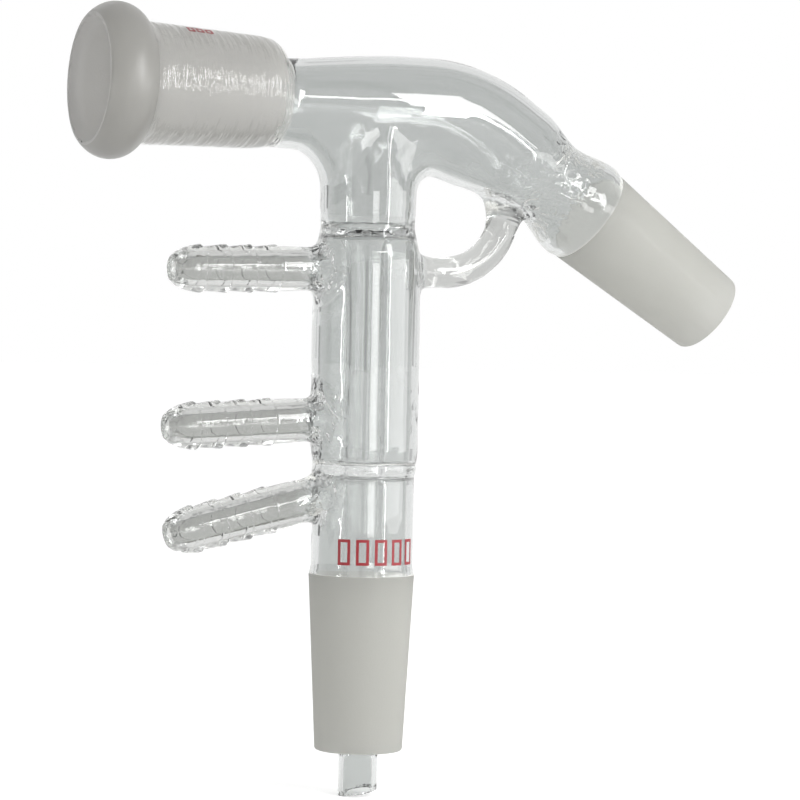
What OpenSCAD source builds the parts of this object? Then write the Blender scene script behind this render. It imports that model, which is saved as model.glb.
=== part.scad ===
// Jacketed distillation head, blown and fused from borosilicate tubing as one piece.
// The frame's origin is the centre of the receiver joint's small end, +Z runs up the
// condenser's axis, and the whole head is symmetric about the XZ plane: the socket and
// the three hose connections point to -X and the flask arm to +X.

/* [Glass] */
// Wall thickness of the tubing
wall = 1.7; // [1.2:0.1:2]
// Height of the thick fused band at each ring seal
seal_h = 2.2; // [1.5:0.1:3]
// How far the fused band stands out of the tube beside it
seal_bulge = 0.35; // [0.2:0.05:0.8]

/* [Ground joints] */
// Large diameter of the 1:10 ground taper
joint_d = 24; // [19:0.5:29]
// Length of the ground taper
joint_len = 40; // [28:1:45]
// Radius of the fire-polished edge at a cone's small end
joint_round = 0.6; // [0.4:0.1:0.8]

/* [Drip tube] */
// Outer diameter of the inner condenser tube, which ends as the drip tip
drip_od = 9.3; // [7.5:0.1:10]
// Wall thickness of the drip tip
drip_wall = 1.2; // [0.9:0.1:1.5]
// Outer diameter of the drip tip, drawn down a little from the inner tube
tip_od = 8.9; // [7:0.1:9.6]
// Length of the drip tip below the receiver joint
drip_len = 10.4; // [6:0.2:20]
// Slope of the tip's slanting end, in degrees
drip_cut = 11; // [0:1:35]

/* [Condenser] */
// Outer diameter of the shank between the receiver joint and the jacket
shank_od = 23.2; // [21:0.2:26]
// Length of the shank, from the ground taper to the lower ring seal
shank_len = 23.8; // [20:0.2:40]
// Outer diameter of the water jacket
jacket_od = 24.6; // [23.6:0.2:30]
// Length of the jacket, between the middles of its two ring seals
jacket_len = 53.4; // [50:0.2:90]
// Height of the trumpet where the neck closes in to the inner tube
trumpet_r = 5; // [3.5:0.1:5.5]
// Height over which each end of the jacket rounds in
jacket_round = 5; // [3:0.2:7]

/* [Neck] */
// Outer diameter of the neck just above the upper ring seal
neck_od = 21.5; // [20:0.1:23]
// Extra diameter of the neck where it meets the cross tube
neck_flare = 0.7; // [0.2:0.1:1]
// Height of the cross tube's axis above the upper ring seal
neck_len = 28.5; // [28:0.1:45]
// Radius of the crotch between the neck and the socket side
crotch_socket = 9; // [6:0.1:10]
// Radius of the crotch between the neck and the arm side
crotch_arm = 5; // [4:0.1:8]

/* [Cross tube and arm] */
// Outer diameter of the cross tube where it leaves the socket
tail_od = 20; // [18:0.2:21]
// Outer diameter of the cross tube at the bend
tube_od = 24.4; // [23:0.2:26]
// Slope of the fuller underside between the neck and the arm, in degrees
throat_angle = 15; // [10:0.5:20]
// Distance from the condenser's axis to the end of that fuller underside
throat_len = 37.5; // [34:0.1:45]
// Distance from the condenser's axis to the corner of the bend
bend_x = 23.9; // [23:0.1:40]
// Radius of the bend's centreline
bend_r = 32; // [24:1:36]
// Angle of the arm below the horizontal, in degrees
arm_angle = 33.9; // [25:0.1:40]
// Distance from the corner of the bend to the arm's ground taper
arm_len = 39.6; // [36:0.1:60]
// Outer diameter of the narrowest place, where the joint is fused to the arm
weld_od = 20.8; // [20:0.1:23]

/* [Socket] */
// Distance from the condenser's axis to the end of the socket's rounded shoulder
socket_x = 23; // [22:0.1:40]
// Height of the socket's axis above the cross tube's
socket_rise = 1.4; // [0:0.1:2]
// Slope of the socket up towards its mouth, in degrees
socket_tilt = 1.3; // [0:0.1:3]
// Wall thickness of the socket beside its ground bore
socket_wall = 2.5; // [2:0.1:2.8]
// Radius of the socket's rounded shoulder
shoulder_r = 3.8; // [3.5:0.1:4.8]
// Height of the rolled bead over the socket's wall
bead_h = 3.7; // [2:0.1:4]
// Length of the rolled bead
bead_w = 12; // [9:0.2:13]

/* [Hose connections] */
// Diameter of the plain stem beside the wall
barb_stem = 10.1; // [9.4:0.1:11]
// Diameter over the ridges
barb_od = 11; // [10:0.1:12]
// Diameter between the ridges
barb_root = 9.6; // [8.5:0.1:9.9]
// Diameter of the tip's end
barb_tip = 6; // [5.6:0.1:7]
// Bore of a hose connection
barb_bore = 4.6; // [4:0.1:5]
// Number of ridges
barb_ridges = 4; // [2:1:4]
// Distance between the ridges
barb_pitch = 5.7; // [5:0.1:6]
// Length of the tapered nose, from the tip to the first ridge's back
barb_nose = 8.8; // [7:0.1:9]
// Radius of the flare where a hose connection meets its wall
barb_flare = 4; // [3:0.1:5]
// Length of the upper water connection, from the wall to its tip
upper_len = 35.2; // [34:0.1:45]
// Distance from the upper ring seal down to the upper water connection
upper_drop = 7.9; // [7.5:0.1:12]
// Droop of the upper water connection, in degrees
upper_tilt = 1.6; // [0:0.1:5]
// Length of the lower water connection, from the wall to its tip
lower_len = 36; // [34:0.1:45]
// Distance from the lower ring seal up to the lower water connection
lower_rise = 11.9; // [9:0.1:16]
// Droop of the lower water connection, in degrees
lower_tilt = 3.2; // [0:0.1:5]
// Length of the vacuum connection, from the wall to its tip
vacuum_len = 37; // [34:0.1:45]
// Distance from the lower ring seal down to the vacuum connection at the shank's wall
vacuum_drop = 6.4; // [6:0.1:10]
// Droop of the vacuum connection, in degrees
vacuum_tilt = 13.2; // [5:0.2:20]

/* [Brace] */
// Diameter of the glass rod that ties the arm to the jacket
brace_d = 7.2; // [5:0.2:9]
// Distance from the upper ring seal down to the rod's axis
brace_drop = 8.2; // [7.5:0.1:12]
// Straight length of the rod, from the jacket to its bend
brace_run = 6.8; // [5:0.1:12]
// Radius of the rod's bend, at its centreline
brace_r = 15.9; // [15:0.1:18]
// Extra radius of the rod where it is fused to the glass
brace_flare = 0.8; // [0.3:0.1:1.5]

/* [Hidden] */
$fn = 96;

taper = 1 / 10;                 // change of a ground joint's diameter along its length
eps = 0.01;
lead_len = 2;                   // short cone between a joint's taper and the tube it is on
cut_past = 1;                   // how far a bore runs on past the face that it opens
joint_r = joint_d / 2;
joint_end_r = joint_r - joint_len * taper / 2;
shank_r = shank_od / 2;
jacket_r = jacket_od / 2;
drip_r = drip_od / 2;
tip_r = min(tip_od / 2, drip_r - 0.1);
drip_bore_r = tip_r - drip_wall;
neck_r = neck_od / 2;
neck_top_r = neck_r + neck_flare / 2;
tail_r = tail_od / 2;
tube_r = tube_od / 2;
weld_r = weld_od / 2;

// Heights up the condenser's axis
low_seal_z = joint_len + shank_len;
top_seal_z = low_seal_z + jacket_len;
tube_z = top_seal_z + neck_len;
socket_z = tube_z + socket_rise;
upper_z = top_seal_z - upper_drop;
lower_z = low_seal_z + lower_rise;
vacuum_z = low_seal_z - vacuum_drop + shank_r * tan(vacuum_tilt);

// Trumpet: centre of the curve along which the neck closes in to the inner tube
trumpet_lap = 0.4;              // how far the trumpet runs on into the neck's wall
trumpet_x = neck_r - wall + trumpet_lap;
trumpet_z = top_seal_z - trumpet_r - wall / 2;

// Socket: distances along its axis, measured from the condenser towards the mouth
lip_len = 2.7;                  // flared lip before the ground bore starts
lip_flare = 2.3;                // how far the lip opens beyond the ground bore
floor_len = 2.2;                // from the shoulder's start to the ground bore
ground_start = socket_x + floor_len;
shoulder_mid = socket_x + shoulder_r;
shoulder_lap = 0.2;
inner_shoulder_r = shoulder_r - 1;
mouth_x = ground_start + joint_len + lip_len;
socket_tail_r = joint_end_r + socket_wall;
mouth_thinner = 1;              // how much thinner the wall is beside the bead
socket_mouth_r = joint_r + socket_wall - mouth_thinner;
bead_r = (bead_w * bead_w / 4 + bead_h * bead_h) / (2 * bead_h);
bead_x = mouth_x - bead_w / 2;

// The cross tube runs from inside the socket's shoulder to the start of the bend.
// Tubes that run on into each other overlap by a lap, one a hair thinner inside the other.
lap = 1;
lap_step = 0.05;
tail_lap = 2.3;                 // how far the tail runs on into the socket's shoulder
tail_x = socket_x + tail_lap;
full_x = 8;                     // where the cross tube reaches its full diameter
bend_start = bend_x - bend_r * tan(arm_angle / 2);
bend_end = bend_r * tan(arm_angle / 2);

// The throat starts inside the neck, and its underside meets the neck's wall a crotch below
// the cross tube
throat_step = 0.55;             // how much slimmer the throat is than the neck
throat_r = neck_r - throat_step;
throat_x = 2;
throat_z = tube_z - tube_r + wall + throat_r / cos(throat_angle)
         - throat_x * tan(throat_angle);

// The crotches are sweeps that stay just inside the tubes they blend
seat = 0.12;
crotch_socket_tube = tail_r - 2 * seat;
crotch_arm_tube = throat_r - 2 * seat;
neck_full_z = tube_z - tail_r - crotch_socket - lap;  // where the neck reaches its full diameter

// Welds of the brace: the rod runs on past the arm's wall, and the bore trims it
brace_z = top_seal_z - brace_drop;
brace_x = jacket_r + brace_run;
brace_sink = tube_r - wall - brace_d / 2;
normal_angle = 90 - arm_angle;
brace_offset = (bend_x - brace_x) * cos(normal_angle)
             + (tube_z - brace_z - brace_r) * sin(normal_angle);
brace_foot = 2;                 // length of the flared weld on the jacket
brace_end = normal_angle - acos((brace_offset - brace_sink) / brace_r);

// Trumpet at the foot of a hose connection: its width, and where its curve ends
flare_w = 1.6;
flare_rise = 2.6;
foot_trim = 0.1;                // keeps the foot's block clear of the curve's own tangent
bore_gap = 2;                   // from the inner tube to where a hose connection's bore starts

// Places along the arm, measured from the corner of the bend
weld_s = arm_len - 13;          // the middle of the butt weld, where the waist is
weld_half = 11;                 // how far the waist reaches back towards the bend
flare_s = arm_len - lead_len;
swell = 0.5;                    // how far the joint's lead stands out over its large end

// ---- placing -------------------------------------------------------------

// Stands a shape that is built along +Z on a line that leaves the condenser's
// axis at height z towards -X, drooping by tilt degrees.
module to_socket_side(z, tilt = 0) {
    translate([0, 0, z]) rotate([0, -90 - tilt, 0]) children();
}

// Stands a shape that is built along +Z on the arm's axis, from the bend's corner.
module on_arm() {
    translate([bend_x, 0, tube_z]) rotate([0, 90 + arm_angle, 0]) children();
}

// Sweeps a disc of radius r in the XZ plane round (x, z), from one angle to another.
module sweep(x, z, bend, r, from, to) {
    translate([x, 0, z]) rotate([90, 0, 0]) rotate([0, 0, from])
        rotate_extrude(angle = to - from) translate([bend, 0]) circle(r = r);
}

// ---- profiles, as half sections in which x is the radius -------------------

// Keeps the half of a section that a revolve may use.
module half_section(low, high, out = 60) {
    intersection() {
        children();
        translate([0, low]) square([out, high - low]);
    }
}

// Solid body of the ground cone, from its small end at 0 up to its large end,
// with the small end's edge fire-polished round.
module cone_section() {
    polygon([
        [0, 0],
        [joint_end_r - joint_round, 0],
        [joint_end_r, joint_round],
        [joint_r, joint_len],
        [0, joint_len],
    ]);
    translate([joint_end_r - joint_round, joint_round]) circle(r = joint_round, $fn = 32);
}

// Bore of the ground cone, open at both ends.
module cone_bore_section() {
    polygon([
        [0, -cut_past],
        [joint_end_r - wall, -cut_past],
        [joint_end_r - wall, 0],
        [joint_r - wall, joint_len],
        [0, joint_len],
    ]);
}

// One end of the jacket, rounding in over its own height to radius r.
module jacket_end_section(r) {
    inset = jacket_r - r;
    curve = (jacket_round * jacket_round + inset * inset) / (2 * inset);
    intersection() {
        translate([jacket_r - curve, 0]) circle(r = curve, $fn = 180);
        square([jacket_r, jacket_round]);
    }
}

// Fused band of a ring seal, a low swelling centred on height 0.
module seal_section(r) {
    curve = seal_bulge / 2 + seal_h * seal_h / (8 * seal_bulge);
    intersection() {
        translate([r + seal_bulge - curve, 0]) circle(r = curve, $fn = 120);
        translate([0, -seal_h / 2]) square([r + seal_bulge, seal_h]);
    }
}

// ---- outer bodies ----------------------------------------------------------

// Everything that turns about the condenser's axis: drip tip, receiver joint,
// shank, ring seals, jacket and neck, as one solid without its bores.
module stem_body() {
    rotate_extrude() half_section(-2 * drip_len, tube_z) {
        translate([0, -2 * drip_len]) square([tip_r, 2 * drip_len + lap]);
        cone_section();
        polygon([
            [0, joint_len],
            [joint_r, joint_len],
            [shank_r, joint_len + lead_len],
            [shank_r, low_seal_z],
            [0, low_seal_z],
        ]);
        translate([0, low_seal_z]) seal_section(shank_r);
        translate([0, low_seal_z + jacket_round]) mirror([0, 1]) jacket_end_section(shank_r);
        translate([0, low_seal_z + jacket_round])
            square([jacket_r, jacket_len - 2 * jacket_round]);
        translate([0, top_seal_z - jacket_round]) jacket_end_section(neck_r);
        translate([0, top_seal_z]) seal_section(neck_r);
        polygon([
            [0, top_seal_z],
            [neck_r, top_seal_z],
            [neck_top_r, neck_full_z],
            [neck_top_r, tube_z],
            [0, tube_z],
        ]);
    }
}

// Cross tube, which widens from the socket's tail to the full tube at the bend.
module cross_body(inset = 0) {
    full_r = tube_r - lap_step - inset;
    to_socket_side(tube_z) rotate_extrude() polygon([
        [0, -bend_start - lap],
        [full_r, -bend_start - lap],
        [full_r, -full_x],
        [tail_r - inset, tail_x],
        [0, tail_x],
    ]);
}

// Bend from the cross tube into the arm.
module bend_body(inset = 0) {
    sweep(bend_start, tube_z - bend_r, bend_r, tube_r - inset, 90 - arm_angle, 90);
}

// Fuller underside between the neck and the arm, a tube that slopes down through the bend.
module throat_body(inset = 0) {
    translate([throat_x, 0, throat_z]) rotate([0, 90 + throat_angle, 0])
        cylinder(h = (throat_len - throat_x) / cos(throat_angle), r = throat_r - inset);
}

// Both crotches of the T, where the neck runs into the cross tube and into the throat.
module crotch_bodies(inset = 0) {
    lead = crotch_socket + crotch_socket_tube;
    sweep(-neck_top_r - crotch_socket + seat, tube_z - lead - seat, lead,
          crotch_socket_tube - inset, 0, 90);
    follow = crotch_arm + crotch_arm_tube;
    follow_x = neck_top_r + crotch_arm - seat;
    follow_z = throat_z - (follow_x - throat_x) * tan(throat_angle)
             - (throat_r + crotch_arm - seat) / cos(throat_angle);
    sweep(follow_x, follow_z, follow, crotch_arm_tube - inset, 90 - throat_angle, 180);
}

// Outside of the arm: the tube, the fused waist and the swelling before the taper.
module arm_section() {
    polygon([
        [0, bend_end - lap],
        [tube_r - lap_step, bend_end - lap],
        [tube_r - lap_step, weld_s - weld_half],
        [weld_r, weld_s],
        [joint_r + swell, flare_s],
        [joint_r, arm_len],
        [0, arm_len],
    ]);
}

module arm_body() {
    on_arm() {
        rotate_extrude() arm_section();
        translate([0, 0, arm_len + joint_len]) mirror([0, 0, 1])
            rotate_extrude() half_section(0, joint_len) cone_section();
    }
}

// Socket: tapered wall, rounded shoulder and rolled bead at the mouth.
module socket_body() {
    to_socket_side(socket_z, -socket_tilt) rotate_extrude() {
        polygon([
            [0, shoulder_mid],
            [socket_tail_r, shoulder_mid],
            [socket_mouth_r, bead_x],
            [0, bead_x],
        ]);
        half_section(socket_x, shoulder_mid + shoulder_lap)
            translate([socket_tail_r - shoulder_r, shoulder_mid]) circle(r = shoulder_r);
        translate([0, socket_x]) square([socket_tail_r - shoulder_r, shoulder_r]);
        half_section(bead_x - bead_r, mouth_x)
            translate([socket_mouth_r + bead_h - bead_r, bead_x]) circle(r = bead_r);
    }
}

// Hose connection, built from the condenser's axis outwards on a wall of radius r:
// a trumpet on the wall, a plain stem, the ridges and a bullet nose.
module barb_section(r, len) {
    tip = r + len;
    crest = barb_od / 2;
    root = barb_root / 2;
    stem = barb_stem / 2;
    nose_back = tip - barb_nose;
    flat = 0.8;                  // length of a ridge's crest
    back = 0.7;                  // length of the slope behind a crest
    nose_drop = 0.4;             // how much slimmer the nose is than a crest
    nose_len = 4;                // length of the nose's even part
    tip_round = 0.5;             // length of the chamfer at the very tip
    polygon(concat(
        [[0, r - wall], [stem, r - wall]],
        [for (k = [barb_ridges - 1 : -1 : 0]) let (s = nose_back - k * barb_pitch) each [
            [k == barb_ridges - 1 ? stem : root, s - back],
            [crest, s],
            [crest, s + flat],
            [k > 0 ? root : crest - nose_drop, k > 0 ? s + barb_pitch - back : s + nose_len],
        ]],
        [[barb_tip / 2, tip - tip_round], [barb_tip / 2 - nose_drop, tip], [0, tip]]
    ));
    difference() {
        translate([0, r - wall]) square([stem + flare_w, wall + flare_rise - foot_trim]);
        translate([stem + barb_flare, r + flare_rise]) circle(r = barb_flare, $fn = 48);
    }
}

module barb_body(z, tilt, r, len) {
    to_socket_side(z, tilt) rotate_extrude() barb_section(r, len);
}

// Glass rod that ties the arm to the jacket, with a flared weld at each end.
module brace_body() {
    rod_r = brace_d / 2;
    translate([jacket_r - wall, 0, brace_z]) rotate([0, 90, 0]) {
        cylinder(h = wall + brace_run + lap, r = rod_r - lap_step);
        cylinder(h = wall + brace_foot, r1 = rod_r + brace_flare, r2 = rod_r - 2 * lap_step);
    }
    sweep(brace_x, brace_z + brace_r, brace_r, rod_r, -90, brace_end);
}

// Inner tube up to the lower ring seal, drawn down to the drip tip at its lower end.
module inner_tube_section() {
    polygon([
        [0, -lead_len],
        [tip_r, -lead_len],
        [tip_r, 0],
        [drip_r, lead_len],
        [drip_r, low_seal_z + lap],
        [0, low_seal_z + lap],
    ]);
}

// ---- bores -----------------------------------------------------------------

// Vapour way: down the neck, through the trumpet and out of the drip tip.
module vapour_bore() {
    rotate_extrude() {
        translate([0, -3 * drip_len]) square([drip_bore_r, 3 * drip_len + trumpet_z + lap]);
        difference() {
            polygon([
                [0, trumpet_z],
                [neck_r - wall, trumpet_z],
                [neck_r - wall, top_seal_z],
                [neck_top_r - wall, neck_full_z],
                [neck_top_r - wall, tube_z],
                [0, tube_z],
            ]);
            translate([trumpet_x, trumpet_z])
                circle(r = trumpet_x - drip_bore_r, $fn = 120);
        }
    }
}

// Water space between the inner tube and the jacket, up to the trumpet.
module water_space() {
    low = low_seal_z + seal_h / 2;
    rotate_extrude() {
        translate([drip_r, low])
            square([jacket_r - wall - drip_r, trumpet_z - low]);
        intersection() {
            translate([trumpet_x, trumpet_z]) circle(r = trumpet_x - drip_r, $fn = 120);
            translate([drip_r, trumpet_z])
                square([jacket_r - wall - drip_r, trumpet_r]);
        }
    }
}

// Vacuum space between the inner tube and the shank, open at the receiver joint.
module vacuum_space() {
    rotate_extrude() difference() {
        union() {
            cone_bore_section();
            polygon([
                [0, joint_len],
                [joint_r - wall, joint_len],
                [shank_r - wall, joint_len + lead_len],
                [shank_r - wall, low_seal_z - seal_h / 2],
                [0, low_seal_z - seal_h / 2],
            ]);
        }
        inner_tube_section();
    }
}

// Ground bore of the socket with its flared lip and rounded inner shoulder.
module socket_bore() {
    to_socket_side(socket_z, -socket_tilt) rotate_extrude() {
        polygon([
            [0, ground_start],
            [joint_end_r, ground_start],
            [joint_r, ground_start + joint_len],
            [joint_r + lip_flare, mouth_x],
            [joint_r + lip_flare, mouth_x + cut_past],
            [0, mouth_x + cut_past],
        ]);
        half_section(ground_start - inner_shoulder_r, ground_start + eps)
            translate([joint_end_r - inner_shoulder_r, ground_start]) circle(r = inner_shoulder_r);
        translate([0, ground_start - inner_shoulder_r])
            square([joint_end_r - inner_shoulder_r, inner_shoulder_r + eps]);
    }
}

// Bore of the arm and of its ground cone.
module arm_bore() {
    on_arm() {
        rotate_extrude() polygon([
            [0, bend_end - lap],
            [tube_r - wall - lap_step, bend_end - lap],
            [tube_r - wall - lap_step, weld_s - weld_half],
            [weld_r - wall, weld_s],
            [joint_r - wall, flare_s],
            [joint_r - wall, arm_len],
            [joint_end_r - wall, arm_len + joint_len],
            [joint_end_r - wall, arm_len + joint_len + cut_past],
            [0, arm_len + joint_len + cut_past],
        ]);
    }
}

// Bore of a hose connection, which stops short of the inner tube.
module barb_bore_at(z, tilt, tip) {
    start = drip_r + bore_gap;
    to_socket_side(z, tilt) translate([0, 0, start])
        cylinder(h = tip + cut_past - start, r = barb_bore / 2);
}

// Slanting cut that opens the drip tip to one side.
module drip_cut_away() {
    block = 4 * drip_r;
    translate([0, 0, -drip_len + tip_r * tan(drip_cut)]) rotate([0, -drip_cut, 0])
        translate([-block / 2, -block / 2, -block]) cube(block);
}

// ---- the head ----------------------------------------------------------------

module glass() {
    stem_body();
    cross_body();
    bend_body();
    throat_body();
    crotch_bodies();
    arm_body();
    socket_body();
    barb_body(upper_z, upper_tilt, jacket_r, upper_len);
    barb_body(lower_z, lower_tilt, jacket_r, lower_len);
    barb_body(vacuum_z, vacuum_tilt, shank_r, vacuum_len);
    brace_body();
}

module hollows() {
    vapour_bore();
    cross_body(wall);
    bend_body(wall);
    throat_body(wall);
    crotch_bodies(wall);
    arm_bore();
    socket_bore();
    drip_cut_away();
    water_space();
    vacuum_space();
    barb_bore_at(upper_z, upper_tilt, jacket_r + upper_len);
    barb_bore_at(lower_z, lower_tilt, jacket_r + lower_len);
    barb_bore_at(vacuum_z, vacuum_tilt, shank_r + vacuum_len);
}

module distillation_head() {
    color([0.86, 0.91, 0.9, 0.55]) difference() {
        union() glass();
        union() hollows();
    }
}

distillation_head();
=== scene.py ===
from math import acos, asin, cos, degrees, pi, radians, sin, tan

import bmesh
import bpy
from mathutils import Matrix, Vector, noise
from mathutils.kdtree import KDTree


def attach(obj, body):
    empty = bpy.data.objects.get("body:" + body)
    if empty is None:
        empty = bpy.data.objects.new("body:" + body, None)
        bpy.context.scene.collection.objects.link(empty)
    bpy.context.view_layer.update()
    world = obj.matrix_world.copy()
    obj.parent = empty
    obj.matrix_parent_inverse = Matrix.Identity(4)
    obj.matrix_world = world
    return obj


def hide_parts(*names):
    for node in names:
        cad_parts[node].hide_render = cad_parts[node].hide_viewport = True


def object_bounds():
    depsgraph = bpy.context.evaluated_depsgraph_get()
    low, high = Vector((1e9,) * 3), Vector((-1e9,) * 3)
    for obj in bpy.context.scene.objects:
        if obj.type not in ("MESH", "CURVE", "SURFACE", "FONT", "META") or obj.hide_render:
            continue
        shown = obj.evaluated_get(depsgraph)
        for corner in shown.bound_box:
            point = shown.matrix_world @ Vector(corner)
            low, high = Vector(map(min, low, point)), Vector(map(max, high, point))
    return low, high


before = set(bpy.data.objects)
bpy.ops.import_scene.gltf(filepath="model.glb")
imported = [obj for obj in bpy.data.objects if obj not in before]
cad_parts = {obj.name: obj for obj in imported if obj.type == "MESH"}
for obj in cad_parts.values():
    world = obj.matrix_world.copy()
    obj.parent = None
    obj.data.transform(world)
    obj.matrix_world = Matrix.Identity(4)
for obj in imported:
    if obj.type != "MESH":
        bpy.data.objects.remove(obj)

cad_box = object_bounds()


# ---- Stem: cone, shank, jacket and neck -------------------------------------------------
# One length of borosilicate tube, drawn on a glass lathe. A ring seal at each end of
# the jacket fuses the inner tube to the wall and leaves a slight bead outside.
mm = 0.001                        # sizes are in millimetres, heights from the cone's small end
around = 84                       # facets round a wide tube
wall = 1.7
joint_r = 12.0                    # large end of a 24/40 ground cone
joint_end_r = 10.0
joint_len = 40.0
joint_round = 0.6
shank_lead = 2                    # from the cone's large end to the shank's full width
shank_r = 11.6
jacket_r = 12.3
jacket_round = 5.0
low_seal_z = 63.8
top_seal_z = 117.2
seal_h = 2.2
seal_bulge = 0.35
neck_r = 10.75
neck_top_r = 11.1
neck_full_z = 125.7
tube_z = 145.7                    # height of the cross tube's axis


def arc(x, z, r, start, end, steps=6):
    """Points on an arc of a profile, its angles in degrees from straight outwards."""
    turns = [radians(start + (end - start) * k / steps) for k in range(steps + 1)]
    return [(x + r * cos(t), z + r * sin(t)) for t in turns]


def turned(profile, place=Matrix(), step=1.3, facets=around):
    """A solid turned about its own Z axis, from a profile of (radius, height)."""
    bm = bmesh.new()
    verts = [bm.verts.new((r * mm, 0, z * mm)) for r, z in profile]
    for pair in zip(verts, verts[1:]):
        bm.edges.new(pair)
    for edge in list(bm.edges):
        cuts = int(edge.calc_length() / (step * mm))
        if cuts:
            bmesh.ops.subdivide_edges(bm, edges=[edge], cuts=cuts)
    bmesh.ops.spin(bm, geom=bm.verts[:] + bm.edges[:], cent=(0, 0, 0), axis=(0, 0, 1),
                   dvec=(0, 0, 0), angle=2 * pi, steps=facets, use_merge=True)
    bmesh.ops.remove_doubles(bm, verts=bm.verts, dist=0.001 * mm)
    bmesh.ops.recalc_face_normals(bm, faces=bm.faces)
    bmesh.ops.transform(bm, matrix=place, verts=bm.verts)
    return bm


def shoulder(r):
    """Half of the jacket's rounded end, as offsets from where it begins to curve."""
    inset = jacket_r - r
    curve = (jacket_round ** 2 + inset ** 2) / (2 * inset)
    return arc(jacket_r - curve, 0, curve, 0, degrees(asin(jacket_round / curve)), 8)


def seal(r, z):
    """The bead of a ring seal, as nine points from its lower edge to its upper one."""
    curve = seal_bulge / 2 + seal_h ** 2 / (8 * seal_bulge)
    half = degrees(asin(seal_h / 2 / curve))
    return arc(r + seal_bulge - curve, z, curve, -half, half, 8)


# Each bead runs into the jacket's shoulder, so the points where they meet are left out.
low_shoulder = [(x, low_seal_z + jacket_round - y) for x, y in shoulder(shank_r)[::-1]]
top_shoulder = [(x, top_seal_z - jacket_round + y) for x, y in shoulder(neck_r)]
stem = turned(
    [(0, 0), (joint_end_r - joint_round, 0)]
    + arc(joint_end_r - joint_round, joint_round, joint_round, -90, 0)[1:]
    + [(joint_r, joint_len), (shank_r, joint_len + shank_lead)]
    + seal(shank_r, low_seal_z)[:6]
    + low_shoulder[2:]
    + top_shoulder[:-1]
    + seal(neck_r, top_seal_z)[4:]
    + [(neck_top_r, neck_full_z), (neck_top_r, tube_z), (0, tube_z)]
)
bodies = [stem]


# ---- Inner tube and the spaces in the stem ----------------------------------------------
# The vapour runs down a trumpet-ended inner tube that ends in the slanted drip tip.
# Water goes round it inside the jacket, and the shank's space below carries the
# vacuum; both are closed off from each other by the ring seals.
thin_around = 64                  # facets round a thin tube
drip_r = 4.65
tip_r = 4.45
drip_wall = 1.2
drip_len = 10.4
drip_cut = 11                     # degrees
drip_bore_r = tip_r - drip_wall
trumpet_drop = 5                  # from the top seal down to where the trumpet opens
trumpet_x = neck_r - wall + 0.4   # the middle of the trumpet's curve
trumpet_z = top_seal_z - trumpet_drop - wall / 2
trumpet_rise = 0.4                # how much higher it curves on the water's side
weld_round = 1.3                  # fillets that molten glass leaves in a corner
water_low = low_seal_z + seal_h / 2
water_high = trumpet_z + 5.06
water_r = jacket_r - wall
vacuum_top = low_seal_z - seal_h / 2
vacuum_r = shank_r - wall

# The tip is made too long here, and is cut at a slant when all is fused.
tip = turned([(0, -2 * drip_len), (tip_r, -2 * drip_len), (tip_r, 1), (0, 1)],
             facets=thin_around)
trumpet = arc(trumpet_x, trumpet_z, trumpet_x - drip_bore_r, 180, 94, 16)
vapour_way = turned(
    [(0, -3 * drip_len), (drip_bore_r, -3 * drip_len)]
    + trumpet
    + [(neck_top_r - wall, neck_full_z), (neck_top_r - wall, tube_z), (0, tube_z)]
)
water_space = turned(
    arc(drip_r + weld_round, water_low + weld_round, weld_round, 180, 270)
    + arc(water_r - weld_round, water_low + weld_round, weld_round, -90, 0)
    + arc(water_r - weld_round, water_high - weld_round, weld_round, 0, 76)
    + arc(trumpet_x, trumpet_z + trumpet_rise, trumpet_x - drip_r, 88, 180, 14)
    + [(drip_r, water_low + weld_round)]
)
vacuum_space = turned(
    [(tip_r, -1), (joint_end_r - wall, -1), (joint_end_r - wall, 0)]
    + [(joint_r - wall, joint_len), (vacuum_r, joint_len + shank_lead)]
    + arc(vacuum_r - weld_round, vacuum_top - weld_round, weld_round, 0, 90)
    + arc(drip_r + weld_round, vacuum_top - weld_round, weld_round, 90, 180)
    + [(drip_r, 2), (tip_r, 0), (tip_r, -1)]
)
bodies.append(tip)
hollows = [vapour_way]


# ---- Cross tube, bend and arm -----------------------------------------------------------
# One thick tube runs from the socket over the neck, bends down, is drawn in at the
# butt weld and ends in the arm's ground cone.
tail_r = 10.0                     # at the socket's end, from where it widens
tail_x = 25.3
tube_r = 12.2
full_x = 8.0                      # where it has its full width
bend_x = 23.9
bend_r = 32.0
arm_angle = 33.9
arm_len = 39.6
weld_r = 10.4
weld_s = arm_len - 13             # places along the arm run from where the axes cross
weld_half = 11.0
flare_s = arm_len - 2
swell = 0.5                       # how far the tube's end stands proud of the cone
bend_lap = 0.75                   # keeps the arm's first ring clear of the bend's last
run_rings = 40
bend_rings = 20
arm_rings = 36
bend_reach = bend_r * tan(radians(arm_angle / 2))
bend_start = bend_x - bend_reach
along_arm = (Matrix.Translation((bend_x * mm, 0, tube_z * mm))
             @ Matrix.Rotation(radians(90 + arm_angle), 4, "Y"))
towards_arm = Matrix.Rotation(radians(90), 4, "Y")


def drawn(stations):
    """A tube through rings given as (matrix, radius), closed at both ends."""
    bm = bmesh.new()
    bmesh.ops.create_circle(bm, cap_ends=True, radius=stations[0][1] * mm,
                            segments=around, matrix=stations[0][0])
    rim = bm.edges[:]
    for (last, last_r), (place, r) in zip(stations, stations[1:]):
        out = bmesh.ops.extrude_edge_only(bm, edges=rim)["geom"]
        rim = [e for e in out if isinstance(e, bmesh.types.BMEdge)]
        verts = [v for v in out if isinstance(v, bmesh.types.BMVert)]
        move = place @ Matrix.Scale(r / last_r, 4) @ last.inverted()
        bmesh.ops.transform(bm, matrix=move, verts=verts)
    bmesh.ops.holes_fill(bm, edges=rim, sides=0)
    bmesh.ops.recalc_face_normals(bm, faces=bm.faces)
    return bm


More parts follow.
